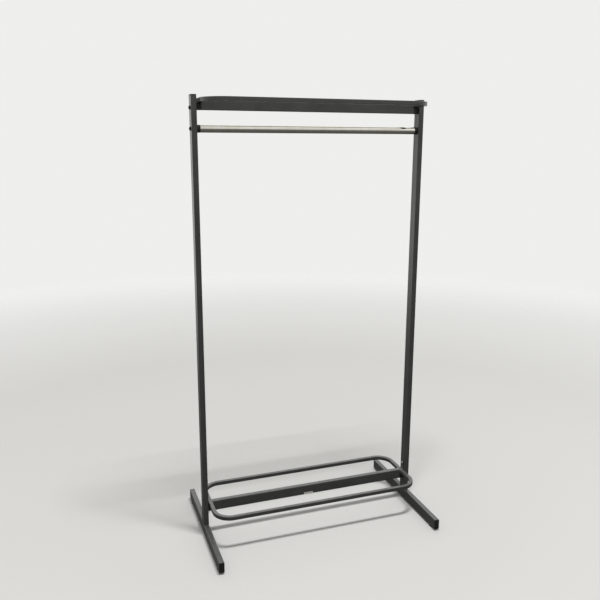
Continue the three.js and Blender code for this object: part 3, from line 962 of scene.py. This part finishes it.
def rivet_nut(side):
    """The rivet nut in the post's wall: flange, crushed bulge behind the wall, and barrel."""
    node = f"bottom_rivet_nut_{side}"
    _, width, _, length = measure(node, OUTWARD[side])
    flange, barrel, thickness = width / 2, 3.4 * MM, 0.8 * MM
    behind_wall = thickness + 0.15 * MM + TUBE_WALL + GAP
    bulge_steps = 5
    bulge = []
    for step in range(bulge_steps + 1):
        share = step / bulge_steps
        swell = 1.1 * MM * math.sin(math.pi * share)
        bulge.append((behind_wall + (0.2 + 2.0 * share) * MM, barrel + swell))
    rings = [(0, flange - 0.2 * MM), (0.2 * MM, flange), (0.65 * MM, flange)]
    rings += [(thickness, flange - 0.15 * MM), (thickness, barrel), *bulge]
    rings += [(length - 0.4 * MM, barrel), (length, barrel - 0.4 * MM)]
    threaded_sleeve(node, OUTWARD[side], M5, rings, ZINC)


def adjuster_stud(side, depth):
    """The adjuster's threaded stud, with a key socket in its top end."""
    name = f"{side}_{depth}_adjuster"
    place, _, _, length = measure(f"{name}_stud", "+z")
    key = hexed(2.3 * MM)
    key_depth = 3 * MM
    tip = M8["root"] - 0.5 * MM
    profile = [(0, tip), (TIP_CONE, M8["root"])]
    profile += threaded(M8, THREAD_START, length - 0.8 * MM, standing(place))
    profile += [(length, tip), (length, key), (length - key_depth, key)]
    profile += [(length - key_depth - 0.6 * MM, NEAR_AXIS)]
    made = placed(spin(profile), place)
    piece(f"fine_{name}_stud", made, ZINC, [f"{name}_stud"], body=name)


def base_plug(side):
    """The steel block in a post's lower end, bored for the two foot bolts."""
    node = f"{side}_base_plug"
    place, width, height, length = measure(node, "+z")
    edge = 0.4 * MM
    rings = [(edge - rise, inset) for inset, rise in rounding(edge)][::-1]
    rings += [(length - edge + rise, inset) for inset, rise in rounding(edge)]
    block = prism(
        [(along, width - 2 * i, height - 2 * i, FITTED_CORNER - i, 0) for along, i in rings]
    )
    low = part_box(node)[0].z
    tools = []
    for depth in DEPTHS:
        point = on(low, 2, middle(f"{side}_foot_bolt_{depth}"))
        tools.append(through_drill(BASE_PLUG_BORE, point, "+z", length))
    piece(f"fine_{node}", cut(placed(block, place), *tools), ZINC, [node])


# ---------------------------------------------------------------- label


def label():
    """A blank white label on the bottom rail's front, wrapped round its lower edge."""
    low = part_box("bottom_rail")[0]
    left, width = -28.6 * MM, 39.6 * MM
    up_front, under = 9.5 * MM, 8.5 * MM
    stock, lift_off = 0.12 * MM, 0.01 * MM
    curled_from, curl_height = 0.86, 0.5 * MM
    centre = Vector((low.y + TUBE_CORNER, low.z + TUBE_CORNER))

    # The rail's outline under the label, as (y, z, the way out of the rail)
    path = []
    for share in (1, 0.66, 0.33):
        path.append((low.y, low.z + up_front * share + TUBE_CORNER * (1 - share), Vector((-1, 0))))
    for step in range(7):
        angle = math.radians(180 + 15 * step)
        out = Vector((math.cos(angle), math.sin(angle)))
        path.append((*(centre + TUBE_CORNER * out), out))
    for share in (0.5, 1):
        path.append((low.y + TUBE_CORNER + (under - TUBE_CORNER) * share, low.z, Vector((0, -1))))

    bands = 12
    rings = []
    for i in range(bands + 1):
        share = i / bands
        curl = curl_height * max(0, share - curled_from) / (1 - curled_from)
        ring = []
        for lift, points in ((stock, path), (lift_off, path[::-1])):
            for y, z, out in points:
                peel = curl if z > low.z + 0.8 * up_front else 0
                rise = lift + peel
                ring.append(Vector((left + width * share, y + rise * out.x, z + rise * out.y)))
        rings.append(ring)
    piece("blank_label", loft(rings), LABEL)


# ---------------------------------------------------------------- assembly

weld_draws = random.Random(7)

for shelf in SHELVES:
    rail(shelf)
    loop(shelf)
hanger_bar()
label()

for side in SIDES:
    post(side)
    foot(side)
    base_plug(side)
    push_in_cap(f"{side}_post_cap", "+z")
    for shelf in SHELVES:
        rail_plug(shelf, side)
        rail_welds(shelf, side, weld_draws)
    bar_socket(side)
    for fixing in ("top", "bar"):
        through_bolt(f"{fixing}_bolt", side)
        brass_insert(f"{fixing}_insert_{side}", OUTWARD[side])
    tab(side, weld_draws)
    tab_screw(side)
    rivet_nut(side)
    for depth in DEPTHS:
        push_in_cap(f"{side}_foot_{depth}_cap", FACING[depth])
        foot_bolt(side, depth)
        adjuster_pad(side, depth)
        adjuster_stud(side, depth)
        adjuster_insert(side, depth)


# ---------------------------------------------------------------- stage, light and camera


FLOOR_RADIUS = 14


def floor():
    """A plain pale floor that fades out far from the rack. Rays that light the rack meet a darker floor."""
    bm = bmesh.new()
    bmesh.ops.create_circle(bm, cap_ends=True, radius=FLOOR_RADIUS, segments=FINE_SIDES)
    mesh = bpy.data.meshes.new("floor")
    bm.to_mesh(mesh)
    bm.free()
    made = bpy.data.objects.new("floor", mesh)
    bpy.context.scene.collection.objects.link(made)
    make = Recipe("pale_floor", Metallic=0.0)
    fine = make.noise(260, detail=4)
    reach = make.node("VectorMath", {"operation": "LENGTH"}, Vector=make.place).outputs["Value"]
    pale = make.mix(make.span(fine, 0.3, 0.7), (0.66, 0.656, 0.642, 1), (0.71, 0.706, 0.69, 1))
    pale = make.mix(make.span(reach, 0.7, 3.2), pale, (0.90, 0.897, 0.88, 1))
    seen = make.node("LightPath").outputs["Is Camera Ray"]
    tone = make.mix(seen, (0.09, 0.087, 0.079, 1), pale)
    make.bump(fine, 0.1 * MM)
    mesh.materials.append(make.surface(tone, make.span(fine, 0.3, 0.7, 0.75, 0.9)))
    make.feed(make.shader, {"Alpha": make.span(reach, 2.2, 5.5, 1, 0)})


def world():
    """A pale room: bright behind the rack, dim behind the viewer near eye level, moderate overhead.

    Diffuse rays get a dimmed share of its light, least from the sides. The camera sees an even wall.
    """
    scene_world = bpy.data.worlds.new("pale_room")
    bpy.context.scene.world = scene_world
    scene_world.use_nodes = True
    tree = scene_world.node_tree

    def node(kind, settings, values):
        made = tree.nodes.new("ShaderNode" + kind)
        for key, value in settings.items():
            setattr(made, key, value)
        for key, value in values.items():
            if isinstance(value, bpy.types.NodeSocket):
                tree.links.new(value, made.inputs[key])
            else:
                made.inputs[key].default_value = value
        return made

    def fade(value, low, high):
        settings = {"interpolation_type": "SMOOTHSTEP"}
        values = {"Value": value, "From Min": low, "From Max": high}
        return node("MapRange", settings, values).outputs[0]

    def mix(factor, a, b):
        return node("Mix", {"data_type": "RGBA"}, {0: factor, 6: a, 7: b}).outputs[2]

    direction = node("TexCoord", {}, {}).outputs["Generated"]
    parts = node("SeparateXYZ", {}, {0: direction}).outputs
    front = mix(fade(parts["Z"], -0.1, 0.4), (0.20, 0.20, 0.195, 1), (1.02, 1.02, 1.0, 1))
    wall = mix(fade(parts["Z"], 0.35, 0.65), (0.88, 0.875, 0.86, 1), (1.5, 1.49, 1.46, 1))
    room = mix(fade(parts["Y"], -0.4, 0.5), front, wall)
    room = mix(fade(parts["Z"], 0.7, 0.92), room, (0.74, 0.73, 0.70, 1))
    rays = node("LightPath", {}, {}).outputs
    sideways = node("Math", {"operation": "ABSOLUTE"}, {0: parts["X"]}).outputs[0]
    dimmed = mix(fade(sideways, 0.3, 0.95), (0.47, 0.47, 0.47, 1), (0.16, 0.16, 0.16, 1))
    dimmer = node("VectorMath", {"operation": "MULTIPLY"}, {0: room, 1: dimmed}).outputs[0]
    color = mix(rays["Is Diffuse Ray"], room, dimmer)
    color = mix(rays["Is Camera Ray"], color, (0.86, 0.86, 0.845, 1))
    tree.links.new(color, tree.nodes["Background"].inputs["Color"])


def panel_light(name, place, target, size, power):
    """A rectangular lamp that shows in no reflection."""
    light = bpy.data.lights.new(name, "AREA")
    light.shape = "RECTANGLE"
    light.size, light.size_y = size
    light.energy = power
    made = bpy.data.objects.new(name, light)
    made.location = place
    made.visible_glossy = False
    made.rotation_euler = (Vector(target) - Vector(place)).to_track_quat("-Z", "Y").to_euler()
    bpy.context.scene.collection.objects.link(made)


def camera():
    """Stands 2.6 m away to the front left at eye height, and looks down at the rack a little."""
    lens = bpy.data.cameras.new("camera")
    lens.sensor_width = 36
    lens.lens = 40.92
    made = bpy.data.objects.new("camera", lens)
    yaw, pitch, roll = (math.radians(angle) for angle in (19.40, 13.04, 0.20))
    looking = Matrix.Rotation(-yaw, 4, "Z") @ Matrix.Rotation(math.pi / 2 - pitch, 4, "X")
    looking = looking @ Matrix.Rotation(roll, 4, "Z")
    made.matrix_world = Matrix.Translation((-0.8997, -2.4252, 1.5210)) @ looking
    bpy.context.scene.collection.objects.link(made)
    bpy.context.scene.camera = made


floor()
world()
panel_light("ceiling_panel", (0.1, -0.93, 5.0), (0.1, 0.0, 0.0), (1.3, 0.42), 170)
camera()
bpy.context.scene.view_settings.view_transform = "Standard"
